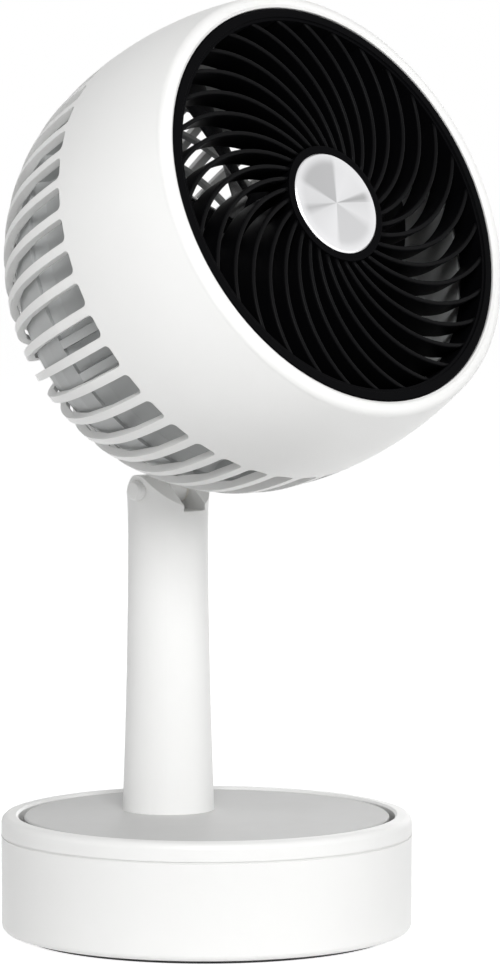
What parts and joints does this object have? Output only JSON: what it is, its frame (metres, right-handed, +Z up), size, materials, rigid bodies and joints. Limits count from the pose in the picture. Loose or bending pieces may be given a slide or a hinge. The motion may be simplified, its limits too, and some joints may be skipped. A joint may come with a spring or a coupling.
{
  "type": "desk air circulator fan",
  "caption": "Round-headed desk air circulator with a spiral front grille, tilting on a slim tapered post that swings on a round base.",
  "frame": {"origin": "centre of the base at the level its rubber foot rests on", "axes": "+Z up, -Y the way the fan blows at swing angle zero, +X to the fan's own left; the turntable turns about Z"},
  "size_m": [0.1704, 0.1722, 0.3405],
  "materials": {
    "white_plastic": "satin moulded",
    "plate_plastic": "satin moulded",
    "black_plastic": "satin moulded",
    "impeller_plastic": "gloss moulded",
    "duct_plastic": "plain moulded",
    "gear_plastic": "plain moulded",
    "mount_plastic": "plain moulded",
    "turned_aluminium": "turned, clear coated",
    "steel": "plain bright",
    "iron": "plain dark",
    "rubber": "plain moulded",
    "board": "green lacquer"
  },
  "bodies": {
    "base": {"base_shell": "white_plastic", "base_rim": "white_plastic", "base_cover": "white_plastic", "rubber_foot": "rubber", "cover_screws": "steel", "counterweight": "iron", "control_board": "board", "power_socket": "steel", "swing_motor": "steel", "thrust_washer": "gear_plastic"},
    "turntable": {"turntable_plate": "plate_plastic", "swing_gear": "gear_plastic", "gear_screws": "steel", "spindle_clip": "steel", "post": "white_plastic", "post_screws": "steel", "tilt_pin": "steel", "pivot_caps": "white_plastic", "tilt_washers": "gear_plastic"},
    "pinion": {"swing_pinion": "gear_plastic"},
    "head": {"tilt_lug": "white_plastic", "lug_screws": "steel", "head_shell": "white_plastic", "rear_cap": "white_plastic", "air_duct": "duct_plastic", "intake_liner": "duct_plastic", "duct_screws": "steel", "front_grille": "black_plastic", "center_disc": "turned_aluminium", "motor_mount": "mount_plastic", "mount_screws": "steel", "motor_bearings": "steel", "motor_stator": "iron"},
    "rotor": {"rotor_shaft": "steel", "rotor_can": "steel", "rotor_magnet": "iron", "impeller": "impeller_plastic", "impeller_nut": "steel"}
  },
  "joints": [
    {"name": "swing", "type": "hinge", "parent": "base", "child": "turntable", "pos_m": [0, 0, 0.04], "axis": [0, 0, 1], "range_deg": [-45, 45]},
    {"name": "pinion_spin", "type": "hinge", "parent": "base", "child": "pinion", "pos_m": [0, -0.045, 0.0357], "axis": [0, 0, 1], "range_deg": [-180, 180]},
    {"name": "tilt", "type": "hinge", "parent": "turntable", "child": "head", "pos_m": [0, 0.0202, 0.1617], "axis": [-1, 0, 0], "range_deg": [-23.1, 66.9]},
    {"name": "impeller_spin", "type": "hinge", "parent": "head", "child": "rotor", "pos_m": [0, -0.066, 0.2674], "axis": [0, -0.9198, 0.3923], "continuous": true}
  ],
  "couplings": [
    {"joint": "pinion_spin", "follows": "swing", "ratio": -4}
  ]
}
